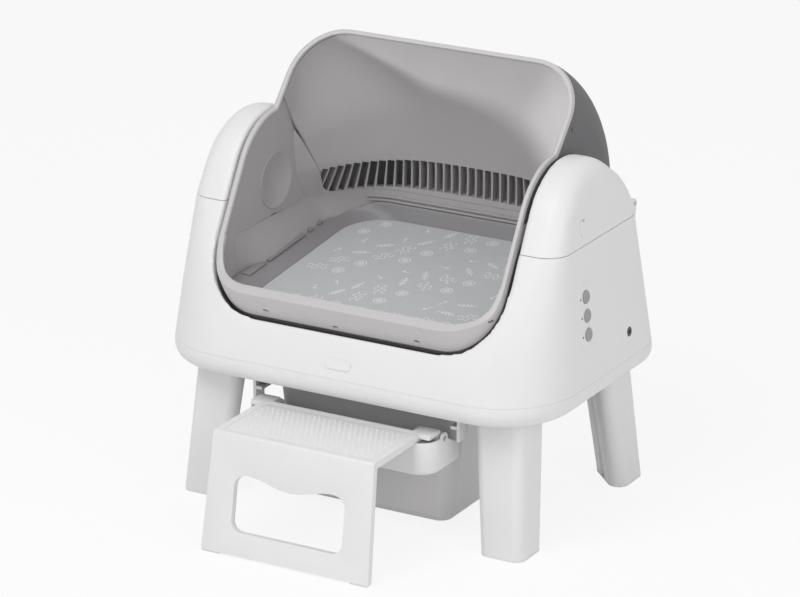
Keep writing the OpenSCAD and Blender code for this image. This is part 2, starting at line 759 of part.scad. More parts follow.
// Pan: a sloping slab up to the drum's walls and the back panel, higher at the back, with a round-cornered
// recess for the mat
module litter_pan() color(mid_grey) on_axis() intersection() {
    on_pan() difference() {
        along_x(drum_l) polygon([[-drum_l, 0], [drum_l, 0], [drum_l, pan_back],
            [pan_l / 2 - pan_edge, pan_back], [pan_l / 2 - 4 * pan_edge, pan_lip], [-drum_l, pan_lip]]);
        translate([0, 0, pan_wall]) linear_extrude(pan_back)
            rounded_plate(pan_w, pan_l - 2 * pan_edge, pan_round);
    }
    drum_form(drum_wall + seat_gap);
    panel_form(panel_t + seat_gap);
}
module litter_mat() color(mat_grey) on_axis() on_pan() translate([0, 0, pan_wall]) linear_extrude(mat_t)
    rounded_plate(pan_w - 2 * mat_clear, pan_l - 2 * pan_edge - 2 * mat_clear, pan_round - mat_clear);
module pan_clips() color(mid_grey) on_axis() intersection() {
    on_pan() both_sides() for (y = clip_places)
        span([drum_half - clip_w, y - clip_l / 2, pan_lip], [drum_l, y + clip_l / 2, pan_lip + clip_h]);
    drum_form(drum_wall + seat_gap);
}

// Waste bin: a tapered bucket whose lip runs on the rails
module bin_corners(half, front, back, z, r) for (sx = [-1, 1], y = [r - front, back - r])
    translate([sx * (half - r), y, z]) cylinder(r = r, h = hull_slice, $fn = 32);
module bin_form(inset, z, top) hull() {
    bin_corners(bin_foot - inset, bin_front - bin_taper - inset, bin_back - bin_taper - inset, z,
        bin_round - inset);
    bin_corners(bin_top - inset, bin_front - inset, bin_back - inset, top - hull_slice, bin_round - inset);
}
module waste_bin() color(pale_grey) on_floor() difference() {
    union() {
        bin_form(0, bin_z, bin_rim);
        both_sides() span([bin_top - bin_round, bin_round - bin_front, bin_rim - lip_t],
            [bin_top + lip_w, bin_back - bin_round, bin_rim]);
    }
    bin_form(bin_wall, bin_z + bin_wall, bin_rim + 1);
}

// Scoop in front of the bin: an open cup whose sides fall away to the back
module scoop_plan(inset) {
    half = bin_top + scoop_side - inset;
    r = scoop_round - inset;
    span2([-half, r + inset - scoop_front], [half, -bin_front - seat_gap - inset]);
    span2([r - half, inset - scoop_front], [half - r, -bin_front - seat_gap - inset]);
    for (s = [-1, 1]) translate([s * (half - r), r + inset - scoop_front]) circle(r);
}
module span2(from, to) translate(from) square(to - from);
module drawer_front() color(white) on_floor() {
    difference() {
        translate([0, 0, scoop_z]) linear_extrude(scoop_rim - scoop_z) scoop_plan(0);
        translate([0, 0, scoop_z + wall]) linear_extrude(scoop_rim - scoop_z) scoop_plan(wall);
        along_x(big) polygon([[-hinge_y, scoop_rim + 1], [-hinge_y, scoop_rim],
            [1 - bin_front, scoop_rim - scoop_fall], [1 - bin_front, scoop_rim + 1]]);
        translate([0, -hinge_y, hinge_z]) rod_x(hinge_pin_d / 2 + seat_gap, -pin_out, pin_out);
    }
    both_sides() translate([0, -hinge_y, hinge_z]) difference() {
        rod_x(hinge_r, pin_out - wall, pin_out);
        rod_x(hinge_pin_d / 2 + fit, pin_out - 2 * wall, pin_out + 1);
    }
}
module step_hinge_pins() color(steel) on_floor() both_sides() translate([0, -hinge_y, hinge_z])
    rod_x(hinge_pin_d / 2, arm_in, pin_out);

// Step: a platform, a leaning front panel with a window, and two hinge arms
module step_window() {
    translate([0, (window_low + window_top) / 2])
        rounded_plate(2 * window_half, window_top - window_low, window_round);
    for (s = [-1, 1]) translate([s * (window_half - window_ear), window_top + window_peak - window_ear])
        circle(window_ear);
}
module on_step_panel() translate([0, step_foot_y, 0]) rotate([-step_tilt, 0, 0]) rotate([90, 0, 0]) children();
module step() color(white) on_floor() {
    difference() {
        union() {
            intersection() {
                on_step_panel() translate([0, 0, -step_t]) linear_extrude(step_t) difference() {
                    polygon([[-step_half - step_flare, -step_t], [step_half + step_flare, -step_t],
                        [step_half, step_z / cos(step_tilt)], [-step_half, step_z / cos(step_tilt)]]);
                    step_window();
                }
                span([-big, -big, step_pad_t], [big, big, step_z]);
            }
            span([-step_half, -step_front, step_z - step_t], [step_half, -step_back, step_z]);
            both_sides() out_x(arm_in, knuckle_out) {
                translate([-hinge_y, hinge_z]) circle(hinge_r);
                polygon([[-step_back - step_t, step_z], [-step_back - step_t, step_z - arm_t],
                    [-hinge_y - hinge_r / 2, step_z - arm_t], [-hinge_y + hinge_r / 2, hinge_z + hinge_r - 2],
                    [-hinge_y - hinge_r, step_z]]);
            }
        }
        translate([0, (-step_front - step_back) / 2, step_z - tread_t]) linear_extrude(tread_t + 1)
            rounded_plate(2 * (step_half - tread_edge), step_front - step_back - 2 * tread_edge, tread_edge);
        translate([0, -hinge_y, hinge_z]) rod_x(hinge_pin_d / 2 + fit, -big, big);
    }
}
module step_tread() color(white) on_floor() translate([0, (-step_front - step_back) / 2, step_z - tread_t])
    linear_extrude(tread_t) rounded_plate(2 * (step_half - tread_edge - seat_gap),
        step_front - step_back - 2 * tread_edge - 2 * seat_gap, tread_edge - seat_gap);
module step_feet() color(rubber_grey) on_floor() both_sides()
    span([step_half + step_flare - step_foot_l, step_foot_y + 1, 0],
        [step_half + step_flare - 2, step_foot_y + step_t / cos(step_tilt), step_pad_t]);

base_tray();
body_shell();
front_left_leg();
front_right_leg();
rear_left_leg();
rear_right_leg();
foot_pads();
badge_plate();
control_panel();
indicator_lights();
control_board();
dc_socket();
left_bearing();
right_bearing();
gearbox();
drive_motor();
drive_pinion();
load_cells();
left_drawer_rail();
right_drawer_rail();
chute_frame();
tray_screws();
cover_hinge_pins();
left_ear_cover();
right_ear_cover();
left_cover_latch();
right_cover_latch();
top_button();
middle_button();
bottom_button();
drum_shell();
rim_trim();
back_panel();
litter_pan();
litter_mat();
pan_clips();
left_hub();
right_hub();
drum_gear();
waste_bin();
drawer_front();
step_hinge_pins();
step();
step_tread();
step_feet();
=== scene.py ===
# %% [markdown]
# A self-cleaning litter box: a white cradle on four legs, an open drum that turns backwards in it, and a waste
# drawer with a step below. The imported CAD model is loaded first. It gives every piece its place and its motion,
# so each Blender piece is made in the same frame and rides on one of its bodies.
# %% Load the frame
import bpy, bmesh
from math import acos, atan2, cos, degrees, hypot, pi, radians, sin, sqrt, tan
from mathutils import Matrix, Vector


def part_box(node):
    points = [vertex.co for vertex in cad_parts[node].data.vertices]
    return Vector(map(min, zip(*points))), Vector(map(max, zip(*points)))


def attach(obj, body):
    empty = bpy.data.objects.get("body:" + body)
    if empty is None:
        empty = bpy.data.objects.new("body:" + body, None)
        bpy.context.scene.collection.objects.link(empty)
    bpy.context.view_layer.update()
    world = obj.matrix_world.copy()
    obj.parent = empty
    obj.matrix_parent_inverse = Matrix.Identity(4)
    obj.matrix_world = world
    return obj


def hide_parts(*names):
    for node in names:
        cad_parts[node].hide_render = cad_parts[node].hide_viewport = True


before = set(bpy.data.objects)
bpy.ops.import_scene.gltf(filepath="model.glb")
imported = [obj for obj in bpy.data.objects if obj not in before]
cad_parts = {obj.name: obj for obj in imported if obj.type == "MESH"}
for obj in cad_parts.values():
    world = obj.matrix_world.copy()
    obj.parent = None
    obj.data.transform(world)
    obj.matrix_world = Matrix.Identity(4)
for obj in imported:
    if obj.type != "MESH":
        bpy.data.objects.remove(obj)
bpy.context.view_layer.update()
scene = bpy.context.scene

# %% [markdown]
# Every size below is in millimetres, measured from the drum's axis or from the floor under it, because the whole
# machine is laid out round that axis. Two matrices turn such sizes into metres in the shared frame, one for each
# origin. A third stands a flat drawing up, so that a side view drawn in X and Y becomes Y and Z and its thickness
# runs along X. A fourth mirrors a piece from the right to the left.
# %% Places
AXIS_Y, AXIS_Z = 58, 385
MM = Matrix.Scale(0.001, 4)
AXIS = Matrix.Translation((0, AXIS_Y / 1000, AXIS_Z / 1000)) @ MM
FLOOR = Matrix.Translation((0, AXIS_Y / 1000, 0)) @ MM
SIDEWAYS = Matrix(((0, 0, 1, 0), (1, 0, 0, 0), (0, 1, 0, 0), (0, 0, 0, 1)))
FLIP = Matrix.Scale(-1, 4, (1, 0, 0))

def shift(x=0, y=0, z=0):
    return Matrix.Translation((x, y, z))

def turn(angle, about):
    return Matrix.Rotation(radians(angle), 4, about)

def mirrored(side):
    return FLIP if side < 0 else Matrix()

# %% [markdown]
# Moulded plastic parts start as one of three things: a flat drawing given a thickness, an outline turned on a
# lathe, or a set of circles with a skin drawn tight over them. A few small helpers do these with bmesh operators.
# The drawing's corners are rounded while it is still flat, and its edges are broken after it has a thickness.
# %% Making solids
def drawing(corners, rounding=0, which=None, steps=8):
    bm = bmesh.new()
    made = [bm.verts.new((x, y, 0)) for x, y in corners]
    bm.faces.new(made)
    if rounding:
        bmesh.ops.bevel(bm, geom=made if which is None else [made[i] for i in which], offset=rounding,
            offset_type="OFFSET", segments=steps, profile=0.5, affect="VERTICES", material=-1)
    return bm

def thicken(bm, low, high, edge=0, steps=3):
    bmesh.ops.translate(bm, vec=(0, 0, low), verts=bm.verts[:])
    grown = bmesh.ops.extrude_face_region(bm, geom=bm.faces[:])["geom"]
    lifted = [g for g in grown if isinstance(g, bmesh.types.BMVert)]
    bmesh.ops.translate(bm, vec=(0, 0, high - low), verts=lifted)
    bmesh.ops.recalc_face_normals(bm, faces=bm.faces[:])
    if edge:
        rims = [e for e in bm.edges if abs(e.verts[0].co.z - e.verts[1].co.z) < 1e-6]
        bmesh.ops.bevel(bm, geom=rims, offset=edge, offset_type="OFFSET", segments=steps, profile=0.5,
            affect="EDGES", material=-1)
    return bm

def rectangle(half_x, low_y, high_y):
    return [(-half_x, low_y), (half_x, low_y), (half_x, high_y), (-half_x, high_y)]

def arc(x, y, radius, angles):
    return [(x + radius * cos(radians(a)), y + radius * sin(radians(a))) for a in angles]

def oval(width, height, steps=12):
    return drawing(rectangle(width / 2, -height / 2, height / 2), width / 2 - 0.01, steps=steps)

def block(low, high):
    bm = bmesh.new()
    size = Vector(high) - Vector(low)
    middle = (Vector(high) + Vector(low)) / 2
    bmesh.ops.create_cube(bm, size=1, matrix=Matrix.Translation(middle) @ Matrix.Diagonal((*size, 1)))
    return bm

def lathe(outline, steps=128, closed=True):
    bm = bmesh.new()
    ring = [bm.verts.new((x, r, 0)) for x, r in outline]
    for a, b in zip(ring, ring[1:] + ring[:1] if closed else ring[1:]):
        bm.edges.new((a, b))
    bmesh.ops.spin(bm, geom=bm.verts[:] + bm.edges[:], cent=(0, 0, 0), axis=(1, 0, 0), angle=2 * pi,
        steps=steps, use_merge=True)
    bmesh.ops.remove_doubles(bm, verts=bm.verts[:], dist=1e-4)
    bmesh.ops.recalc_face_normals(bm, faces=bm.faces[:])
    return bm

def rod(radius, start, end, steps=48):
    return lathe([(start, 0), (start, radius), (end, radius), (end, 0)], steps, closed=False)

def tight_skin(circles, steps=48):
    """circles: (radius, matrix) pairs; the skin is drawn tight over all of them."""
    bm = bmesh.new()
    for radius, place in circles:
        bmesh.ops.create_circle(bm, segments=steps, radius=radius, matrix=place)
    hull = bmesh.ops.convex_hull(bm, input=bm.verts[:], use_existing_faces=False)
    spare = {g for g in hull["geom_interior"] + hull["geom_unused"] if isinstance(g, bmesh.types.BMVert)}
    bmesh.ops.delete(bm, geom=list(spare), context="VERTS")
    bmesh.ops.delete(bm, geom=[e for e in bm.edges if not e.link_faces], context="EDGES")
    bmesh.ops.recalc_face_normals(bm, faces=bm.faces[:])
    return bm

def together(*shapes):
    """Several closed shapes in one bmesh, each a (bmesh, matrix) pair."""
    whole = bmesh.new()
    for bm, place in shapes:
        bmesh.ops.transform(bm, matrix=place, verts=bm.verts[:])
        if place.determinant() < 0:
            bmesh.ops.reverse_faces(bm, faces=bm.faces[:])
        mesh = bpy.data.meshes.new("passing")
        bm.to_mesh(mesh)
        bm.free()
        whole.from_mesh(mesh)
        bpy.data.meshes.remove(mesh)
    return whole

# %% [markdown]
# A bmesh becomes an object with its place already in its mesh. Boolean cuts open mouths and windows, and a voxel
# remesh followed by smoothing melts a sharp edge into the soft fillet of an injection moulding. Each modifier is
# settled at once, so the next cut sees the finished form.
# %% From bmesh to finished piece
def shape(bm, name, place):
    bmesh.ops.transform(bm, matrix=place, verts=bm.verts[:])
    if place.determinant() < 0:
        bmesh.ops.reverse_faces(bm, faces=bm.faces[:])
    mesh = bpy.data.meshes.new(name)
    bm.to_mesh(mesh)
    bm.free()
    obj = bpy.data.objects.new(name, mesh)
    scene.collection.objects.link(obj)
    return obj

def settle(obj):
    mesh = bpy.data.meshes.new_from_object(obj.evaluated_get(bpy.context.evaluated_depsgraph_get()))
    obj.modifiers.clear()
    obj.data = mesh
    return obj

def combine(obj, other, operation="DIFFERENCE", keep=False):
    cut = obj.modifiers.new("combine", "BOOLEAN")
    cut.object, cut.operation, cut.solver = other, operation, "MANIFOLD"
    settle(obj)
    if not keep:
        bpy.data.objects.remove(other)
    return obj

def soften(obj, voxel, rounds):
    even = obj.modifiers.new("even", "REMESH")
    even.mode, even.voxel_size = "VOXEL", voxel / 1000
    soft = obj.modifiers.new("soft", "SMOOTH")
    soft.factor, soft.iterations = 0.5, rounds
    return settle(obj)

def break_edges(obj, width, steps=2, angle=40):
    bevel = obj.modifiers.new("edges", "BEVEL")
    bevel.width, bevel.segments = width / 1000, steps
    bevel.limit_method, bevel.angle_limit = "ANGLE", radians(angle)
    bevel.harden_normals = False
    return settle(obj)

def twin(obj, name):
    other = bpy.data.objects.new(name, obj.data.copy())
    scene.collection.objects.link(other)
    return other

def dress(obj, body, finish, slot, *nodes, sharp=35):
    obj.data.materials.clear()
    obj.data.materials.append(finish)
    obj.data.shade_smooth()
    obj.data.set_sharp_from_angle(angle=radians(sharp))
    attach(obj, body)
    if nodes:
        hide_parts(*nodes)
    print(f"{obj.name}: {len(obj.data.polygons)} faces, rides on {body}")
    return obj

# %% [markdown]
# Almost everything here is injection-moulded ABS or polypropylene with a fine spark-eroded grain. Such plastic is
# a dielectric with an IOR near 1.53, its colour runs through it, and the grain breaks up its gloss. The grain is
# about 0.3 mm on the real part; it is drawn at about 0.8 mm, since finer grain is lost at this distance. A wide,
# faint mottle stands for uneven gloss from handling. The mat and the pads are thermoplastic elastomer, which is
# matt with a faint sheen at low angles, and the print on the mat is a dry white film. Drawn steel has a small
# bright highlight, and the circuit board is green resist over glass fibre, smooth and a little shiny.
# %% Finishes
def linear(code):
    parts = [int(code[i:i + 2], 16) / 255 for i in (1, 3, 5)]
    return [p / 12.92 if p <= 0.04045 else ((p + 0.055) / 1.055) ** 2.4 for p in parts] + [1]

def add(tree, kind, inputs, **settings):
    node = tree.nodes.new(kind)
    for name, value in settings.items():
        setattr(node, name, value)
    for name, value in inputs.items():
        if isinstance(value, bpy.types.NodeSocket):
            tree.links.new(value, node.inputs[name])
        else:
            node.inputs[name].default_value = value
    return node

ABS_IOR, MOTTLE_MM, GLOSS_SPREAD, GRAIN_STRENGTH = 1.53, 45, 0.05, 0.35

def finish(name, low, high, roughness, ior=ABS_IOR, grain_mm=0.8, depth_mm=0.03, metallic=0.0):
    made = bpy.data.materials.new(name)
    made.use_nodes = True
    tree = made.node_tree
    tree.nodes.clear()
    where = add(tree, "ShaderNodeTexCoord", {}).outputs["Object"]
    mottle = add(tree, "ShaderNodeTexNoise", {"Vector": where, "Scale": 1000 / MOTTLE_MM, "Detail": 3.0})
    grain = add(tree, "ShaderNodeTexNoise", {"Vector": where, "Scale": 1000 / grain_mm, "Detail": 2.0})
    tint = add(tree, "ShaderNodeMixRGB", {"Fac": mottle.outputs["Fac"], "Color1": linear(low),
        "Color2": linear(high)})
    gloss = add(tree, "ShaderNodeMapRange", {"Value": mottle.outputs["Fac"], "To Min": roughness - GLOSS_SPREAD,
        "To Max": roughness + GLOSS_SPREAD})
    bump = add(tree, "ShaderNodeBump", {"Height": grain.outputs["Fac"], "Strength": GRAIN_STRENGTH,
        "Distance": depth_mm / 1000})
    skin = add(tree, "ShaderNodeBsdfPrincipled", {"Base Color": tint.outputs["Color"],
        "Roughness": gloss.outputs["Result"], "Normal": bump.outputs["Normal"], "Metallic": metallic, "IOR": ior})
    add(tree, "ShaderNodeOutputMaterial", {"Surface": skin.outputs["BSDF"]})
    return made

white_abs = finish("white_moulded_abs", "#e6e6e6", "#eaeaea", 0.48)
grey_abs = finish("grey_moulded_abs", "#8c8a8c", "#908e90", 0.5)
hood_abs = finish("dark_grey_hood_abs", "#676668", "#6b6a6c", 0.7)
pale_abs = finish("pale_grey_moulded_abs", "#a8a5a6", "#acaaab", 0.6)
# The trim's finish is the drum's pale plastic painted lighter: painted light on the rim, which faces the lamps
# while the inside is in shade.
rim_abs_painted_lighter = finish("pale_abs_painted_lighter_for_the_lit_rim", "#c6c3c4", "#cac7c8", 0.5)
bin_pp = finish("grey_polypropylene", "#d8d6d7", "#dcdadb", 0.45, ior=1.49, grain_mm=1.2)
dark_abs = finish("dark_grey_moulded_abs", "#4b4b4d", "#505053", 0.55)
key_abs = finish("grey_key_cap_abs", "#97969a", "#9b9a9e", 0.4, grain_mm=0.6, depth_mm=0.02)
mat_tpe = finish("grey_thermoplastic_mat", "#bec1c3", "#c2c5c7", 0.7, ior=1.5, grain_mm=1.0, depth_mm=0.05)
print_ink = finish("white_printing_ink", "#eceeef", "#f2f3f4", 0.6, ior=1.5, grain_mm=1.0, depth_mm=0.01)
foot_tpe = finish("pale_foot_rubber", "#e0e0e1", "#e4e4e5", 0.75, ior=1.52, grain_mm=1.0, depth_mm=0.05)
steel = finish("drawn_steel", "#9aa0a6", "#a4a9ae", 0.35, ior=1.5, grain_mm=0.6, depth_mm=0.01, metallic=1.0)
board_frp = finish("green_circuit_board", "#2c6446", "#30694b", 0.4, ior=1.55, grain_mm=1.0, depth_mm=0.01)
print("finishes:", len(bpy.data.materials))

# %% [markdown]
# The photograph was taken with a long lens from the front right and above, against white. The camera stands at
# the angle that was solved from the photograph. Big soft lamps give the even light of a studio. The floor and the
# world are white to the camera and in reflections, so the background is plain without more light on the object. A
# small low lamp on the left lights only the drum, by light linking: past the left ear it reaches the top of the
# back panel and no more.
# %% Camera and light
CAMERA_AWAY, CAMERA_FROM = 5.1756, Vector((0.46532, -0.81911, 0.33545))
LAMPS_AIM = Vector((0, 0.05, 0.3))
WORLD_LIGHT, FLOOR_GLOW = 0.53, 0.86
target = Vector((-0.0259, 0.073, 0.247))
camera = bpy.data.objects.new("camera", bpy.data.cameras.new("camera"))
camera.location = target + CAMERA_AWAY * CAMERA_FROM
camera.rotation_euler = (target - camera.location).to_track_quat("-Z", "Y").to_euler()
camera.data.lens, camera.data.sensor_width = 180, 36
scene.collection.objects.link(camera)
scene.camera = camera
scene.view_settings.view_transform = "Standard"

def lamp(name, place, size, watts):
    made = bpy.data.objects.new(name, bpy.data.lights.new(name, "AREA"))
    made.data.shape, made.data.size, made.data.energy = "DISK", size, watts
    made.location = place
    made.rotation_euler = (LAMPS_AIM - made.location).to_track_quat("-Z", "Y").to_euler()
    scene.collection.objects.link(made)
    return made

lamp("key_lamp", (-0.2, -1.5, 2.4), size=1.5, watts=23)
lamp("front_lamp", (-0.9, -2.7, 1.0), size=1.5, watts=4)
lamp("fill_lamp", (2.3, -1.2, 1.4), size=1.8, watts=14.5)
hood_lamp = lamp("hood_lamp", (-1.78, -1.24, 0.36), size=0.3, watts=40)
in_hood = bpy.data.collections.new("lit_by_the_hood_lamp")
hood_lamp.light_linking.receiver_collection = in_hood

def seen_white(tree):
    ray = add(tree, "ShaderNodeLightPath", {})
    shine = add(tree, "ShaderNodeMath",
        {0: ray.outputs["Is Glossy Ray"], 1: ray.outputs["Is Transmission Ray"]}, operation="MAXIMUM")
    return add(tree, "ShaderNodeMath",
        {0: ray.outputs["Is Camera Ray"], 1: shine.outputs[0]}, operation="MAXIMUM").outputs[0]

world = bpy.data.worlds.new("studio")
world.use_nodes = True
tree = world.node_tree
tree.nodes.clear()
strength = add(tree, "ShaderNodeMapRange", {"Value": seen_white(tree), "To Min": WORLD_LIGHT, "To Max": 1.0})
sky = add(tree, "ShaderNodeBackground", {"Color": (1, 1, 1, 1), "Strength": strength.outputs["Result"]})
add(tree, "ShaderNodeOutputWorld", {"Surface": sky.outputs["Background"]})
scene.world = world

floor_bm = bmesh.new()
bmesh.ops.create_grid(floor_bm, x_segments=1, y_segments=1, size=6)
floor = shape(floor_bm, "floor", Matrix.Translation((0, 0, -0.0005)))
floor_white = bpy.data.materials.new("white_studio_paper")
floor_white.use_nodes = True
tree = floor_white.node_tree
tree.nodes.clear()
paper = add(tree, "ShaderNodeBsdfDiffuse", {"Color": linear("#f4f4f4")})
glow = add(tree, "ShaderNodeEmission", {"Color": (1, 1, 1, 1), "Strength": 1.0})
share = add(tree, "ShaderNodeMath", {0: seen_white(tree), 1: FLOOR_GLOW}, operation="MULTIPLY")
blend = add(tree, "ShaderNodeMixShader",
    {0: share.outputs[0], 1: paper.outputs["BSDF"], 2: glow.outputs["Emission"]})
add(tree, "ShaderNodeOutputMaterial", {"Surface": blend.outputs["Shader"]})
floor.data.materials.append(floor_white)
print("camera distance:", round((camera.location - target).length, 3), "m")

# %% [markdown]
# The white body is one soft form: two round ears, a front and a back that run down from them, and wide round
# corners. It could be sculpted, but its outline is simple geometry, so circles are set out at a few heights and
# round the ears, and a tight skin over them gives the blank. The drum's cradle is then cut out of it, and a voxel
# remesh with smoothing turns the cut's sharp rim into the moulded lip. The form is hollowed, and sawn along the
# parting lines into the tray, the shell and the two ear covers.
# %% The body blank
EAR_R, DRAFT, UNDERSIDE, SEAM = 97, 5.5, -207, -177
EAR_REAR = Vector((22, -15))
FRONT_KNEE, REAR_KNEE = (-193, -152), (170, -163)
FRONT_CORNER, REAR_CORNER, EAR_CORNER = 105, 60, 30
UNDER_EDGE, EAR_EDGE, SIDE, WALL = 26, 24, 268, 7
CRADLE = (213, 211, 75)
QUARTER = [pi / 2 * k / 6 for k in range(7)]

def side_x(z):
    return SIDE - z * tan(radians(DRAFT))

def tangent(point, way):
    return atan2(point[1], point[0]) + way * acos(EAR_R / hypot(*point))

FRONT_N, REAR_N = tangent(FRONT_KNEE, -1), tangent(Vector(REAR_KNEE) - EAR_REAR, 1)

def soft_least(a, b, width=26):
    return min(a, b) - max(width - abs(a - b), 0) ** 2 / (4 * width)

def front_depth(z):
    above = -(EAR_R - z * sin(FRONT_N)) / cos(FRONT_N)
    return soft_least(above, -FRONT_KNEE[0] + 7 * (FRONT_KNEE[1] - z) / 55)

def rear_face(z):
    return (EAR_R + EAR_REAR @ Vector((cos(REAR_N), sin(REAR_N))) - z * sin(REAR_N)) / cos(REAR_N)

def rear_depth(z):
    return soft_least(rear_face(z), REAR_KNEE[0] + 7 * (REAR_KNEE[1] - z) / 44)

def body_blank(inset):
    circles = []
    edge = UNDER_EDGE - inset
    levels = [(z, inset) for z in (0, -40, -76, -100, -120, -136, -150, -163, -172)]
    levels += [(UNDERSIDE + inset + edge * (1 - sin(a)), inset + edge * (1 - cos(a))) for a in QUARTER]
    for z, tuck in levels:
        for sx in (-1, 1):
            for sy, depth, corner in ((-1, front_depth(z), FRONT_CORNER), (1, rear_depth(z), REAR_CORNER)):
                r = EAR_CORNER + (corner - EAR_CORNER) * min(1, z / FRONT_KNEE[1]) - tuck
                circles.append((r, shift(sx * (side_x(z) - tuck - r), sy * (depth - tuck - r), z)))
    edge = EAR_EDGE - inset
    for sx in (-1, 1):
        for y, z in ((0, 0), EAR_REAR):
            for a in QUARTER:
                face = side_x(z) - inset - edge * (1 - sin(a))
                circles.append((EAR_R - inset - edge * (1 - cos(a)),
                    shift(sx * face, y, z) @ turn(-sx * DRAFT, "Y") @ turn(90, "Y")))
    return tight_skin(circles, 72)

def barrel(radius, half, rounding, steps=14):
    angles = [pi / 2 * k / steps for k in range(steps + 1)]
    end = [(half - rounding + rounding * cos(a), radius - rounding + rounding * sin(a)) for a in angles]
    return end + [(-x, r) for x, r in reversed(end)]

def barrel_solid(radius, half, rounding):
    return lathe([(half, 0)] + barrel(radius, half, rounding) + [(-half, 0)], 160, closed=False)

body = shape(body_blank(0), "body", AXIS)
combine(body, shape(barrel_solid(*CRADLE), "cradle", AXIS))
soften(body, voxel=3.4, rounds=12)
hollow = shape(body_blank(WALL), "hollow", AXIS)
combine(hollow, shape(barrel_solid(*[size + WALL for size in CRADLE]), "cradle", AXIS))
combine(body, hollow)
bearing_notches = together(*[(rod(38.8, 206, 226, 64), mirrored(side)) for side in (1, -1)])
combine(body, shape(bearing_notches, "notches", AXIS))
print("body blank:", len(body.data.polygons), "faces")

# %% [markdown]
# Sawing the blank with big blocks keeps each parting line straight and crisp, with a gap just under a millimetre
# that reads as the thin grey line of the photograph. The openings for the controls, the power inlet and the cover
# latches are cut square to the leaning side face. The hinge lugs at the back are flat drawings made thick.
# %% Tray, shell and ear covers
LINE, TRAY_LINE = 0.45, 0.12
FAR, HIGH = 400, 300
KEYS, INLET, LATCH = (-48, -88), (62.5, -143), (-41, 23)

def on_side(y, z, side=1):
    return AXIS @ mirrored(side) @ shift(side_x(z), y, z) @ turn(-DRAFT, "Y")

def sawn(name, low, high):
    part = twin(body, name)
    return combine(part, shape(block(low, high), "saw", AXIS), "INTERSECT")

tray = sawn("tray_moulding", (-FAR, -FAR, -HIGH), (FAR, FAR, SEAM - TRAY_LINE))
shell = sawn("shell_moulding", (-FAR, -FAR, SEAM + TRAY_LINE), (FAR, FAR, -LINE))
covers = [sawn("left_cover_moulding", (-FAR, -FAR, LINE), (0, FAR, HIGH)),
    sawn("right_cover_moulding", (0, -FAR, LINE), (FAR, FAR, HIGH))]
bpy.data.objects.remove(body)

combine(shell, shape(thicken(oval(34.8, 79.8), -14, 8), "opening", on_side(*KEYS) @ SIDEWAYS))
combine(shell, shape(rod(6.5, -14, 8), "opening", on_side(*INLET)))

PIN_Y, PIN_Z, PIN_X, EYE_R = rear_face(0) + 8, 5, 239.5, 6

def knuckle(first, last, wall):
    eye_edge = arc(PIN_Y, PIN_Z, EYE_R, range(first, last + 1, 10))
    plate = drawing(eye_edge + [(rear_face(z) - 2, z) for z in wall])
    eye = shape(thicken(plate, -4.8, 4.8, 0.6), "lug", AXIS @ SIDEWAYS)
    return combine(eye, shape(rod(2.56, -9, 9), "pin_hole", AXIS @ shift(0, PIN_Y, PIN_Z)))

def repeated(obj, name, places):
    """One object from copies of a small one, moved along X by each of places, in millimetres."""
    bm = bmesh.new()
    for x in places:
        fresh = len(bm.verts)
        bm.from_mesh(obj.data)
        bm.verts.ensure_lookup_table()
        bmesh.ops.translate(bm, vec=(x / 1000, 0, 0), verts=bm.verts[fresh:])
    bpy.data.objects.remove(obj)
    return shape(bm, name, Matrix())

lug_places = [side * PIN_X + aside for side in (-1, 1) for aside in (-10, 10)]
lugs = repeated(knuckle(-10, 190, (-14, -28)), "cover_hinge_lugs", lug_places)
dress(tray, "base", white_abs, "white_plastic", "base_tray")
dress(shell, "base", white_abs, "white_plastic", "body_shell")
dress(lugs, "base", white_abs, "white_plastic")
for side, cover, name in ((-1, covers[0], "left"), (1, covers[1], "right")):
    window = thicken(drawing(rectangle(6, -10.5, 10.5), 1.5), -14, 8)
    combine(cover, shape(window, "opening", on_side(*LATCH, side) @ SIDEWAYS))
    dress(cover, f"{name}_cover", white_abs, "white_plastic", f"{name}_ear_cover")
    arm = repeated(knuckle(150, 440, (20, 7)), f"{name}_cover_arm", [side * PIN_X])
    dress(arm, f"{name}_cover", white_abs, "white_plastic")

# %% [markdown]
# The drum is a barrel with rounded ends and a thin wall, open at the front and top. It is turned on the lathe as
# a closed wall section, then its mouth is cut by a prism drawn from the side: a gentle front rim, a steep side
# rim, an arc round each hub and the edge of the hood. The wall has two layers, because the hood is dark outside
# and pale inside. A band, the trim, follows the mouth. Its plastic is the drum's pale grey painted lighter, which
# is painted light for the rim that faces the lamps. At the front it has a thick lip and a thin apron that hangs
# lower, with four small slots. Each slot is set square to the surface that it is cut in.
# %% The drum and its trim
BAND, LIP, APRON, GAP, BORE, ASIDE = 7, 9, 64, 0.4, 34.2, 260
FRONT_SLOTS = (
    ((-112, -176.5, -110), (0, -0.849, -0.529)), ((-12.5, -173, -115.3), (0, -0.832, -0.554)),
    ((106, -175, -112.4), (0, -0.841, -0.54)), ((197.8, -152.5, -76.8), (0.883, -0.417, -0.21)))

def mouth(back=0, down=0):
    fillet, hub_arc = arc(-182.1, -41.4, 40, range(294, 331, 6)), arc(0, 0, EAR_R, range(150, 89, -6))
    corners = [(-250, -115.4)] + fillet + hub_arc + [(83, 190.7), (108, 248), (-291, 291)]
    prism = thicken(drawing([(y + back, z - down) for y, z in corners]), -ASIDE, ASIDE)
    return shape(prism, "mouth", AXIS @ SIDEWAYS)

def rim_band(width, front=0):
    """The mouth's prism and a strip behind it, which hangs lower at the front where front is given."""
    step = width * sqrt(0.5)
    band = combine(mouth(), mouth(step, step), "UNION")
    if front:
        below = shape(block((-HIGH, -HIGH, -HIGH), (HIGH, 0, 30)), "below", AXIS)
        combine(band, combine(mouth(-0.37 * front, front), below, "INTERSECT"), "UNION")
    return band

def barrel_wall(name, outer, inner):
    skin, lining = [[(size[1], BORE)] + barrel(*size) + [(-size[1], BORE)] for size in (outer, inner)]
    return shape(lathe(skin + lining[::-1], 192), name, AXIS)

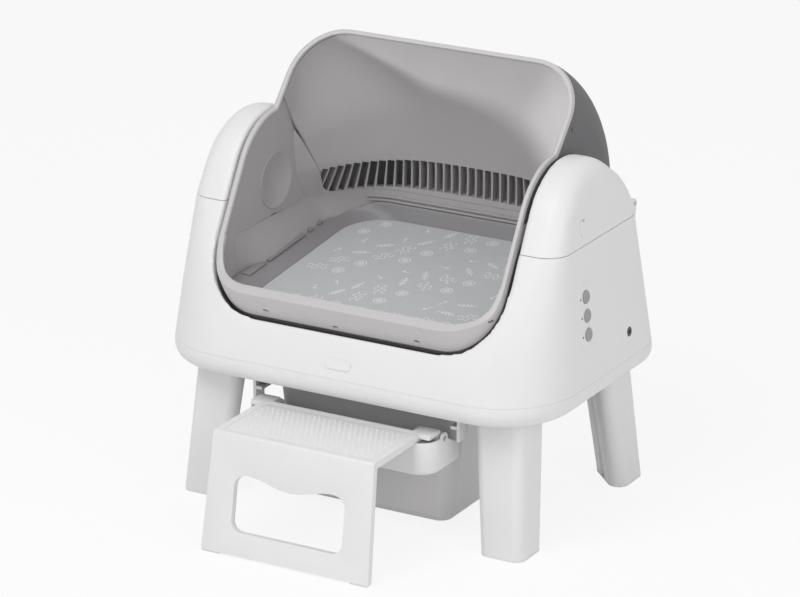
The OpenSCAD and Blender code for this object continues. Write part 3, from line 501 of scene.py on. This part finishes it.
def slot_cutter(width, length, spot, normal, roll=0):
    facing = Vector(normal).to_track_quat("Z", "Y").to_matrix().to_4x4()
    return thicken(oval(width, length), -5, 5), Matrix.Translation(spot) @ facing @ turn(roll, "Z")

DRUM, DRUM_IN, RIM_IN, LIP_IN = (208, 206, 70), (204.5, 202.5, 66.5), (202, 200, 64), (191, 199, 56)
SKIN_IN, CORE = (206.8, 204.8, 68.8), (206.7, 204.7, 68.7)
drum = barrel_wall("drum_moulding", CORE, DRUM_IN)
drum_skin = barrel_wall("drum_outer_skin", DRUM, SKIN_IN)
for part, front in ((drum, 0), (drum_skin, APRON + GAP)):
    combine(part, rim_band(BAND + GAP, front))
    combine(part, shape(together(slot_cutter(2.6, 8, (206, 42.5, 118), (1, 0, 0))), "slot", AXIS))
trim = combine(barrel_wall("rim_band", DRUM, RIM_IN), rim_band(BAND), "INTERSECT")
apron = combine(barrel_wall("apron", DRUM, SKIN_IN), rim_band(BAND, APRON), "INTERSECT")
lip = combine(barrel_wall("lip", DRUM, LIP_IN), rim_band(LIP), "INTERSECT")
front_only = block((-HIGH, -HIGH, -HIGH), (HIGH, -120, -40))
combine(lip, shape(front_only, "front_only", AXIS), "INTERSECT")
combine(combine(trim, lip, "UNION"), mouth())
soften(trim, voxel=1.5, rounds=4)
combine(trim, combine(apron, mouth()), "UNION")
slots = shape(together(*[slot_cutter(4.4, 8.6, spot, normal, 90) for spot, normal in FRONT_SLOTS]), "slots", AXIS)
combine(drum, slots, keep=True)
combine(trim, slots)
dress(drum, "drum", pale_abs, "drum_plastic", "drum_shell")
dress(drum_skin, "drum", hood_abs, "drum_plastic")
dress(trim, "drum", rim_abs_painted_lighter, "pale_plastic", "rim_trim", sharp=60)

# %% [markdown]
# The back panel is a thin moulding inside the drum. It runs from the hood's edge down to the sieve in one sweep,
# and its rounded corners are wide at the sieve and tight at the hood. No lathe gives corners that change on the
# way, so a flat grid is bent into it: across the grid lie the back, a corner and a flank, and up the grid runs
# the sweep. The drum's own wall goes on below and beside the panel in the same sweep, and draws in towards the
# pan. Behind the slots the panel is made 12.5 mm thick, which gives the sieve its deep fins, and these lean with
# the corner.
# %% Back panel and sieve
SIEVE_Y, SIEVE_Z, PANEL_Y, PANEL_R, PANEL_HALF, CORNER = 160, -17, -145.25, 308.25, 202.3, 136
FLANK, LONG_FLANK, SLOT_PITCH, EDGE_LEAN = 70, 215, 12, radians(29)

def eased(value):
    value = min(max(value, 0), 1)
    return value * value * (3 - 2 * value)

def panel_sheet(name, inner, outer, flank=FLANK):
    """A wall that follows the panel's sweep; inner and outer are its faces, outwards from the panel's back face.

    Across the grid the back ends at 0.3, the corner at 0.8 and the flank at 1. Up the grid runs the sweep's angle.
    A flank longer than the panel's is the drum's own wall, which draws in low down, behind its front end.
    """
    bm = bmesh.new()
    bmesh.ops.create_grid(bm, x_segments=96, y_segments=44, size=1)
    for v in bm.verts:
        across, angle = abs(v.co.x), radians(-26 + 38 * (v.co.y + 1))
        wider, tighter = eased((degrees(angle) + 15) / 20), eased((degrees(angle) - 14) / 28)
        rounding = 70 + 75 * wider - 77 * tighter + inner
        half, reach = PANEL_HALF + inner, PANEL_R + inner
        bend = min(max((across - 0.3) / 0.5, 0), 1) * pi / 2
        x = (half - rounding) * min(across / 0.3, 1) + rounding * sin(bend)
        r = reach - rounding + rounding * cos(bend)
        ahead = flank * max(across - 0.8, 0) / 0.2
        z = SIEVE_Z + r * sin(angle) - 0.1 * ahead
        if flank > FLANK:
            low = eased((-44 - z) / 50) * (1 - eased((ahead - 132) / 45))
            x += (3.3 + 5 * eased((z + 40) / 30)) * eased((across - 0.64) / 0.12)
            x -= 18.4 * low * eased((across - 0.3) / 0.4)
        v.co = (x if v.co.x > 0 else -x, PANEL_Y + r * cos(angle) - ahead, z)
    bm.faces.ensure_lookup_table()
    bm.normal_update()
    if bm.faces[len(bm.faces) // 2 + 48].normal.y < 0:
        bmesh.ops.reverse_faces(bm, faces=bm.faces[:])
    sheet = shape(bm, name, AXIS)
    wall = sheet.modifiers.new("wall", "SOLIDIFY")
    wall.thickness, wall.offset = (outer - inner) / 1000, 1
    return settle(sheet)

def drum_inside():
    return shape(barrel_solid(204.3, PANEL_HALF, 66.3), "inside", AXIS)

def panel_edge(grow=0):
    """The panel's outline from the side: it stops just under the slots, with a round corner at the front."""
    low, far = -45 - grow, 416
    front = [((68 - grow - z * sin(EDGE_LEAN)) / cos(EDGE_LEAN), z) for z in (low, far)]
    outline = drawing([front[0], (far, low), (far, far), front[1]], 14, which=(0,))
    return shape(thicken(outline, -ASIDE, ASIDE), "panel_edge", AXIS @ SIDEWAYS)

def slot_height(x):
    return SIEVE_Z - 12 * (x / 206) ** 2

straight = PANEL_HALF - CORNER
slot_places = [shift(x, SIEVE_Y + 9, slot_height(x)) for x in range(-5 * SLOT_PITCH, 6 * SLOT_PITCH, SLOT_PITCH)]
for side in (-1, 1):
    for k in range(1, 15):
        angle = (k * SLOT_PITCH - straight % SLOT_PITCH) / CORNER
        height = slot_height(straight + CORNER * sin(angle))
        place = shift(side * straight, PANEL_Y + PANEL_R - CORNER, 0) @ Matrix.Rotation(-side * angle, 4, "Z")
        slot_places.append(place @ shift(0, CORNER + 6, height) @ turn(-side * k, "Y"))
panel = panel_sheet("back_panel_moulding", -3, 0)
ribs = panel_sheet("ribs", -2.5, 10)
behind_slots = block((-210, 40, SIEVE_Z - 36), (210, 230, SIEVE_Z + 25))
combine(ribs, shape(behind_slots, "ribs_cut", AXIS), "INTERSECT")
combine(panel, ribs, "UNION")
sieve = together(*[(block((-4.8, -24, -20), (4.8, 24, 20)), place) for place in slot_places])
combine(panel, shape(sieve, "slots", AXIS))
combine(panel, drum_inside(), "INTERSECT")
combine(panel, panel_edge(), "INTERSECT")
combine(panel, rim_band(BAND + GAP))
lining = panel_sheet("drum_side_wall", -3, 0, LONG_FLANK)
combine(lining, drum_inside(), "INTERSECT")
combine(lining, panel_edge(GAP))
combine(lining, rim_band(LIP + GAP))
dress(panel, "drum", pale_abs, "pale_plastic", "back_panel")
dress(lining, "drum", pale_abs, "drum_plastic")
for part in (drum, panel, lining):
    in_hood.objects.link(part)

# %% [markdown]
# The litter pan is a shallow tray that fills the drum's width. It has a flat recess for the mat, flanks that rise
# to the drum's ends and a steep upstand at the back. Its blank is a side view given the drum's width, and a tight
# skin over circles at three heights cuts the flanks and the upstand in one go. Two thin rails follow the back
# panel above it, cut from the same sweep, and flat clips hold the pan down along the drum's ends.
# %% Litter pan
PAN = AXIS @ shift(0, 8, -102.5) @ turn(5.7, "X")
MAT_HALF, MAT_FRONT, MAT_BACK, FRONT_ROUND, BACK_ROUND = 159, 150, 139, 40, 59
FUNNEL = ((5.6, 160, 151, 140, 60), (14.4, 186, 162, 143, 62), (34, 206, 190, 149, 64))
RAIL_HEIGHTS = ((-61, -58.4), (-55.6, -53))
CLIPS = ((-108, -66), (-58, 34), (45, 54), (70, 79))

def pan_skin(levels):
    """levels: (z, half width, front, back, corner); the skin over the four corner circles of each."""
    return tight_skin([(r, shift(s * (half - r), y, z)) for z, half, front, back, r in levels for s in (-1, 1)
        for y in (r - front, back - r)])

def mat_skin(grow, low, high, edge=0):
    """The mat's outline, with tighter corners at its front."""
    levels = ((low, edge), (low + edge, 0), (high - edge, 0), (high, edge)) if edge else ((low, 0), (high, 0))
    return tight_skin([(r + grow - tuck, shift(s * (MAT_HALF - r), y, z)) for z, tuck in levels for s in (-1, 1)
        for r, y in ((FRONT_ROUND, FRONT_ROUND - MAT_FRONT), (BACK_ROUND, MAT_BACK - BACK_ROUND))])

profile = [(-220, 0), (220, 0), (220, 26), (142, 26), (106, 14.6), (-220, 14.6)]
pan = shape(thicken(drawing(profile), -212, 212), "pan_moulding", PAN @ SIDEWAYS)
combine(pan, drum_inside(), "INTERSECT")
combine(pan, panel_sheet("wall_room", -3.4, 60, LONG_FLANK))
combine(pan, shape(mat_skin(1, 3, 40), "recess", PAN))
combine(pan, shape(pan_skin(FUNNEL), "funnel", PAN))
soften(pan, voxel=1.8, rounds=4)
rails = panel_sheet("sieve_rails", -6.2, -3.2, 190)
levels = together(*[(block((-150, 0, low), (150, 230, high)), shift()) for low, high in RAIL_HEIGHTS])
combine(rails, shape(levels, "levels", AXIS), "INTERSECT")
combine(rails, drum_inside(), "INTERSECT")
clips = together(*[(thicken(drawing(rectangle(6, first, last), 1.2), 13.6, 17, 0.7), shift(s * 188))
    for first, last in CLIPS for s in (-1, 1)])
dress(pan, "drum", grey_abs, "drum_plastic", "litter_pan", sharp=60)
dress(rails, "drum", pale_abs, "pale_plastic")
dress(shape(clips, "pan_clip_row", PAN), "drum", grey_abs, "drum_plastic", "pan_clips")

# %% [markdown]
# The mat is a soft printed sheet that lies in the recess. Its print is white line work. Each motif starts as a
# flat drawing whose face is inset, and the inner face is deleted, which leaves a line of even width: a ring, a
# drop, a leaf, a wave of half rings and a sprig. They are scattered on a staggered grid with a turn of their own
# each, and stand a tenth of a millimetre proud, as thick ink does.
# %% Mat and its print
mat = shape(mat_skin(0, 3, 6, 0.6), "printed_mat", PAN)

def lined(bm, width=0.9):
    line = bmesh.ops.inset_region(bm, faces=bm.faces[:], thickness=width, use_boundary=True,
        use_even_offset=True)["faces"]
    bmesh.ops.delete(bm, geom=[f for f in bm.faces if f not in line], context="FACES")
    return bm

def ring(radius, half=False):
    bm = bmesh.new()
    bmesh.ops.create_circle(bm, cap_ends=True, segments=20, radius=radius)
    lined(bm)
    if half:
        bmesh.ops.bisect_plane(bm, geom=bm.verts[:] + bm.edges[:] + bm.faces[:], plane_co=(0, 0, 0),
            plane_no=(0, -1, 0), clear_outer=True)
    return bm

def stroke(x, y, length, angle):
    return drawing(rectangle(0.45, 0, length)), shift(x, y) @ turn(angle, "Z")

def leaf():
    side = [(4.2 * sin(pi * k / 8), 16 * k / 8) for k in range(9)]
    blade = lined(drawing(side + [(-x, y) for x, y in side[-2:0:-1]]))
    return together((blade, shift(0, -8)), stroke(0, -12, 14, 0), stroke(0, -3, 4.5, 40), stroke(0, -3, 4.5, -40))

def drops():
    return together(*[(lined(drawing([(-2.2, 0), (0, -2.4), (2.2, 0), (1.5, 3.4), (0, 7), (-1.5, 3.4)])),
        turn(a, "Z") @ shift(0, 4)) for a in range(0, 360, 72)])

def waves():
    return together(*[(ring(3.6, True), shift(x, y) @ turn(flip, "Z"))
        for y in (-5, 4) for x, flip in ((-9.6, 0), (-3.2, 180), (3.2, 0), (9.6, 180))])

def sprig():
    twigs = [stroke(0, y, 6, a) for y in (-6, -1, 4) for a in (48, -48)]
    return together(stroke(0, -12, 22, 0), *twigs, (ring(1.8), shift(0, 11.5)))

def target_rings():
    return together((ring(8), shift()), (ring(4.2), shift()), *[stroke(0, 0, 3, a) for a in (20, 140, 260)])

motifs = (leaf, waves, drops, sprig, target_rings)
inked = []
for row in range(9):
    for column in range(10):
        x, y = (column - 4.5) * 32 + (16 if row % 2 else 0), (row - 4) * 30.5
        if hypot(max(abs(x) - 100, 0), max(abs(y) - 80, 0)) < 44:
            turned = turn((row * 67 + column * 131) % 360, "Z")
            inked.append((motifs[(row * 2 + column * 3) % 5](), shift(x, y) @ turned))
ink = shape(thicken(together(*inked), 6, 6.1), "mat_print", PAN)
dress(mat, "drum", mat_tpe, "mat_rubber", "litter_mat")
dress(ink, "drum", print_ink, "mat_rubber")

# %% [markdown]
# A dished cap in each end of the drum covers its hub. Behind the wall the hub goes on as a flange and a journal,
# which turns in the bearing inside the ear. The whole hub is one outline on the lathe, with a shallow curve for
# the dish.
# %% Hubs
def hub(end):
    dish = [(211.5 - 10.5 * (r / 36) ** 2, r) for r in range(0, 37, 3)]
    outside = [(201, 38.4), (201.5, 39), (202.5, 39), (202.5, 34), (206, 34), (206, 30), (222, 30), (222, 26)]
    return lathe(dish + outside + [(end, 26), (end, 20), (213.5, 20), (213.5, 0)], 96, closed=False)

dress(shape(hub(223), "left_hub_cap", AXIS @ FLIP), "drum", pale_abs, "drum_plastic", "left_hub")
dress(shape(hub(234), "right_hub_cap", AXIS), "drum", pale_abs, "drum_plastic", "right_hub")

# %% [markdown]
# The legs are hollow mouldings with three rounded corners: a square outer corner, and a flat inner face across it
# with a channel down its middle. A tight skin over three circles at the foot and three at the top gives the taper
# and the splay together.
# %% Legs
LEG_R = 14

def bmesh_of(obj):
    bm = bmesh.new()
    bm.from_mesh(obj.data)
    bpy.data.objects.remove(obj)
    return bm

def leg_corners(x, y, between):
    x, y = x - LEG_R, y - LEG_R
    return [(x, y), (x - between, y), (x, y - between)]

def leg(sx, sy, foot_y, top_y):
    foot, top = leg_corners(250, foot_y, 33), leg_corners(238, top_y, 40)
    corners = [(LEG_R, shift(x, y, z)) for spots, z in ((foot, 3), (top, 178)) for x, y in spots]
    blank = shape(tight_skin(corners), "leg", FLOOR)
    channel = []
    for spots, z in ((foot, -6), (top, 150)):
        middle = (Vector(spots[1]) + Vector(spots[2])) / 2 - Vector((1, 1)) * (LEG_R + 4) * sqrt(0.5)
        channel.append((9, shift(middle.x, middle.y, z)))
    combine(blank, shape(tight_skin(channel), "channel", FLOOR))
    break_edges(blank, 1.6, 3)
    moved = FLOOR @ Matrix.Diagonal((sx, sy, 1, 1)) @ FLOOR.inverted()
    return shape(together((bmesh_of(blank), moved)), "leg", Matrix())

for sy, row, foot_y, top_y in ((-1, "front", 167, 147), (1, "rear", 180, 160)):
    for sx, column in ((-1, "left"), (1, "right")):
        made = leg(sx, sy, foot_y, top_y)
        made.name = f"{row}_{column}_leg_moulding"
        dress(made, "base", white_abs, "white_plastic", f"{row}_{column}_leg")

# %% [markdown]
# Small fittings: an oval badge left bare, three dished keys, the latch tab in each ear cover and the power inlet.
# Each lies on the leaning side face or on the front, so one matrix per place sets it square to that face.
# %% Badge, keys, latches and inlet
def badge():
    return tight_skin([(r, shift(0, y, z)) for r, z in ((7, 0), (7, 0.7), (6.7, 1)) for y in (-12, 12)])

lean = atan2(front_depth(-164) - front_depth(-152), 12)
face = AXIS @ shift(0, -front_depth(-158) - 0.2, -158) @ Matrix.Rotation(pi / 2 - lean, 4, "X") @ turn(90, "Z")
dress(shape(badge(), "bare_badge", face), "base", white_abs, "pale_plastic", "badge_plate")

for k, name, z in ((1, "top", 24.5), (2, "middle", 0), (3, "bottom", -24.5)):
    dish = [(1.7 + 0.5 * (r / 6.5) ** 2, r) for r in (0, 2, 4, 5.5, 6.5)]
    rim = [(2.4, 7.2), (2.3, 7.9), (1.9, 8.4), (1.4, 8.5), (-1, 8.5), (-1, 10), (-2.2, 10), (-2.2, 0)]
    key = shape(lathe(dish + rim, 64, closed=False), f"{name}_key", on_side(*KEYS) @ shift(0, 0, z))
    dress(key, f"button_{k}", key_abs, "button_plastic", f"{name}_button")

for side, name in ((-1, "left"), (1, "right")):
    plate = thicken(drawing(rectangle(5.5, -10, 10), 1.5), -4, 1.2, 0.5)
    tab = shape(plate, f"{name}_latch_tab", on_side(*LATCH, side) @ SIDEWAYS)
    combine(tab, shape(block((-2, -1, 7), (4, 3.2, 14)), "notch", on_side(*LATCH, side)))
    dress(tab, f"{name}_latch", white_abs, "white_plastic", f"{name}_cover_latch")

sleeve, pin = lathe([(0.5, 2.8), (0.5, 5.2), (0.1, 6), (-12, 6), (-12, 2.8)], 48), rod(1, -11, -0.6, 24)
inlet = shape(together((sleeve, shift()), (pin, shift())), "power_inlet", on_side(*INLET))
dress(inlet, "base", dark_abs, "dark_plastic", "dc_socket")

# %% [markdown]
# The waste drawer is a tapered bin with a lip along each side, which hangs on two rails, and a scoop at its
# front. Both are cups: a skin or a drawing for the outside, and a smaller one cut out of it.
# %% Bin and scoop
HINGE_Y, HINGE_Z, HINGE_HOLE = -157, 143, 3.6

def hinge(side):
    return FLOOR @ mirrored(side) @ shift(0, HINGE_Y, HINGE_Z)

def bin_skin(inset, low, high):
    levels = ((high, 134, 120, 140, 22), (low + 8, 118.9, 117.3, 137.3, 22), (low, 112.5, 111, 131, 16))
    return pan_skin([(z, half - inset, front - inset, back - inset, r - min(inset, 2))
        for z, half, front, back, r in levels])

bucket = shape(bin_skin(0, 8, 162), "waste_bin_moulding", FLOOR)
lips = together(*[(block((s * 139 - 6, -98, 157), (s * 139 + 6, 118, 162)), shift()) for s in (-1, 1)])
combine(bucket, shape(lips, "lips", FLOOR), "UNION")
combine(bucket, shape(bin_skin(2.5, 10.5, 164), "room", FLOOR))
break_edges(bucket, 0.7)
dress(bucket, "drawer", bin_pp, "pale_plastic", "waste_bin")

def scoop_cup(inset, low, high, edge):
    outline = rectangle(136 - inset, -196 + inset, -120.2 - inset)
    return thicken(drawing(outline, 27 - inset, which=(0, 1)), low, high, edge, 4)

scoop = shape(scoop_cup(0, 102, 152, 5), "scoop_moulding", FLOOR)
combine(scoop, shape(scoop_cup(3, 105, 160, 3), "room", FLOOR))
fall = thicken(drawing([(-260, 145), (-157, 145), (-119, 125), (-119, 200), (-260, 200)]), -200, 200)
combine(scoop, shape(fall, "fall", FLOOR @ SIDEWAYS))
for s in (-1, 1):
    combine(scoop, shape(rod(8, 133, 136), "boss", hinge(s)), "UNION")
    combine(scoop, shape(rod(HINGE_HOLE, 130, 139), "pin_hole", hinge(s)))
break_edges(scoop, 0.8)
dress(scoop, "drawer", white_abs, "white_plastic", "drawer_front")

# %% [markdown]
# The step is one folded plate: a tread and a leaning front panel that widens to the floor, with a window whose
# top edge dips in the middle. It is drawn from the side and made as wide as it is at the floor, then its sides
# are cut to their slant. Two arms reach back to the hinge pins. The tread carries rows of small domes for grip.
# %% Step
STEP_TOP, STEP_UNDER, STEP_BACK, STEP_HALF, STEP_LEAN, ARM_X = 154.6, 145.6, -178, 121, 9.67, 116
DOME_PITCH, DOME_R = 7.6, 1.9
folded = [(STEP_BACK, STEP_TOP), (-298, STEP_TOP), (-324, 2), (-314.9, 2), (-290.4, STEP_UNDER),
    (STEP_BACK, STEP_UNDER)]
plate = thicken(drawing(folded, 3.2, which=(1,), steps=5), -STEP_HALF, STEP_HALF)
step = shape(plate, "step_moulding", FLOOR @ SIDEWAYS)
for s in (-1, 1):
    slant = [(STEP_HALF, 2), (160, 2), (160, 200), (115.5 - 1.6, 200), (115.5, STEP_TOP)]
    combine(step, shape(thicken(drawing(slant), -FAR, FAR), "flank", FLOOR @ mirrored(s) @ turn(90, "X")))
top_edge = [(x, 94.5 + 5.25 * (1 - cos(pi * x / 62))) for x in range(62, -63, -4)]
corner = [(62 + 18 * sin(radians(a)), 89 + 16 * cos(radians(a))) for a in range(90, 0, -15)]
low_corner = [(66 + 14 * sin(radians(a)), 45 - 14 * cos(radians(a))) for a in range(0, 91, 15)]
left_edge = [(-x, z) for x, z in corner[::-1] + low_corner[::-1]]
window = low_corner + corner + top_edge + left_edge
leaning = FLOOR @ shift(0, -324, 2) @ turn(90 - STEP_LEAN, "X")
combine(step, shape(thicken(drawing(window), -30, 30), "window", leaning))
eye = arc(HINGE_Y, HINGE_Z, 8, range(180, 451, 15))
arm = [(-186, 148.6), (-163, 148.6)] + eye + [(-160, STEP_TOP), (-186, STEP_TOP)]
arms = together(*[(thicken(drawing(arm), s * ARM_X - 14.5, s * ARM_X + 14.5, 0.8), SIDEWAYS) for s in (-1, 1)])
combine(step, shape(arms, "arms", FLOOR), "UNION")
low, high = [Vector(c) * 1000 - Vector((0, AXIS_Y, 0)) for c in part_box("step_tread")]
combine(step, shape(thicken(drawing(rectangle(high.x, low.y, high.y), 6), 153.1, 160), "tread_room", FLOOR))
for s in (-1, 1):
    combine(step, shape(rod(HINGE_HOLE, 98, 134), "pin_hole", hinge(s)))
break_edges(step, 1.1, 3)
dress(step, "step_flap", white_abs, "white_plastic", "step")

pad = thicken(drawing(rectangle(high.x - 0.2, low.y + 0.2, high.y - 0.2), 5.8), 153.15, 154.5, 0.3)
domes = []
rows = int((high.y - low.y - 8) / DOME_PITCH)
for row in range(rows):
    for column in range(-13, 14):
        bm = bmesh.new()
        bmesh.ops.create_uvsphere(bm, u_segments=8, v_segments=6, radius=DOME_R)
        x, y = (column + (row % 2) / 2) * DOME_PITCH - DOME_R, low.y + 7 + row * DOME_PITCH
        domes.append((bm, shift(x, y, 154.4) @ Matrix.Diagonal((1, 1, 0.4, 1))))
tread = shape(together((pad, shift()), *domes), "grip_tread", FLOOR)
dress(tread, "step_flap", white_abs, "pale_plastic", "step_tread")

# %% [markdown]
# The other CAD pieces have the right shape already: bearings, gears, the motor, rails, pins and pads. Each keeps
# its mesh and gets the finish of its real material.
# %% Finishes for the CAD pieces
for made, names in (
        (white_abs, "control_panel left_drawer_rail right_drawer_rail"),
        (pale_abs, "drum_gear"),
        (dark_abs, "left_bearing right_bearing gearbox chute_frame indicator_lights"),
        (foot_tpe, "foot_pads step_feet"),
        (steel, "drive_motor load_cells tray_screws cover_hinge_pins drive_pinion step_hinge_pins"),
        (board_frp, "control_board")):
    for name in names.split():
        for material_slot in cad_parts[name].material_slots:
            material_slot.material = made
print("CAD pieces shown:", sum(not node.hide_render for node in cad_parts.values()))
